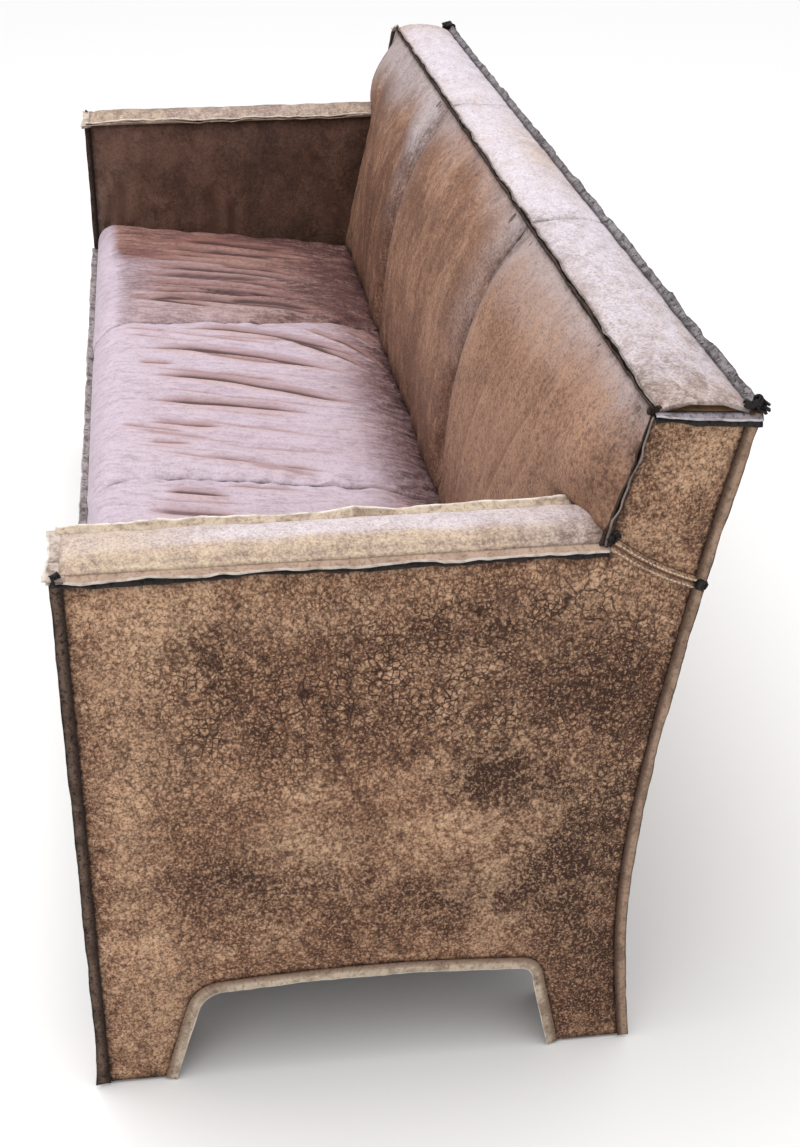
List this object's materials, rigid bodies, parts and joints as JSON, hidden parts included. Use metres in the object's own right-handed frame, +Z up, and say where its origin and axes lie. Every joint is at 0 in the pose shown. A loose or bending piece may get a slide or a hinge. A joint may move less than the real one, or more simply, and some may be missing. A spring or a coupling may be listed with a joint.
{
  "type": "worn leather sofa",
  "caption": "Long leather sofa with flat slab arms on arched feet, a raked back and raw-edged outside seams, for people to sit on.",
  "frame": {"origin": "on the floor, under the middle of the sofa's whole length and depth", "axes": "+X along the sofa towards the sitter's left, -Y towards the front, +Z up"},
  "size_m": [2.06, 0.758, 0.853],
  "materials": {
    "side_leather": "waxed hide, mottled tan and dark brown, cracked and rubbed pale at the edges",
    "seat_leather": "soft polished hide, reddish brown with a greyish lilac bloom and sitting creases",
    "back_leather": "tan hide rubbed in vertical streaks, greyer towards the top",
    "top_leather": "hide faded to pale greyish lilac with cream and tan patches",
    "timber": "planed hardwood, bare",
    "plywood": "birch plywood, bare",
    "foam": "yellowed upholstery foam",
    "lining": "black non-woven cloth",
    "glide": "moulded, matt"
  },
  "bodies": {
    "root": {"apron_panel_left": "side_leather", "apron_panel_middle": "side_leather", "apron_panel_right": "side_leather", "arch_facing_left": "side_leather", "arch_facing_right": "side_leather", "arm_front_panel_left": "side_leather", "arm_front_panel_right": "side_leather", "arm_pad_left": "foam", "arm_pad_right": "foam", "arm_rail_left": "timber", "arm_rail_right": "timber", "arm_top_panel_left": "top_leather", "arm_top_panel_right": "top_leather", "back_foam": "foam", "back_lower_rail": "timber", "back_panel_left": "back_leather", "back_panel_middle": "back_leather", "back_panel_right": "back_leather", "back_ply": "plywood", "back_top_panel_left": "top_leather", "back_top_panel_middle": "top_leather", "back_top_panel_right": "top_leather", "back_top_rail": "timber", "dust_cover": "lining", "end_rear_panel_left": "side_leather", "end_rear_panel_right": "side_leather", "front_board": "timber", "front_post_left": "timber", "front_post_right": "timber", "glide_front_left": "glide", "glide_front_right": "glide", "glide_rear_left": "glide", "glide_rear_right": "glide", "inner_arm_panel_left": "side_leather", "inner_arm_panel_right": "side_leather", "inner_side_ply_left": "plywood", "inner_side_ply_right": "plywood", "outer_side_panel_left": "side_leather", "outer_side_panel_right": "side_leather", "outer_side_ply_left": "plywood", "outer_side_ply_right": "plywood", "rear_board": "timber", "rear_panel_left": "side_leather", "rear_panel_middle": "side_leather", "rear_panel_right": "side_leather", "rear_post_left": "timber", "rear_post_right": "timber", "seat_deck": "plywood", "seat_foam": "foam", "seat_panel_left": "seat_leather", "seat_panel_middle": "seat_leather", "seat_panel_right": "seat_leather", "seat_stretcher_left": "timber", "seat_stretcher_right": "timber", "side_rail_left": "timber", "side_rail_right": "timber", "wing_panel_left": "side_leather", "wing_panel_right": "side_leather"}
  },
  "joints": []
}
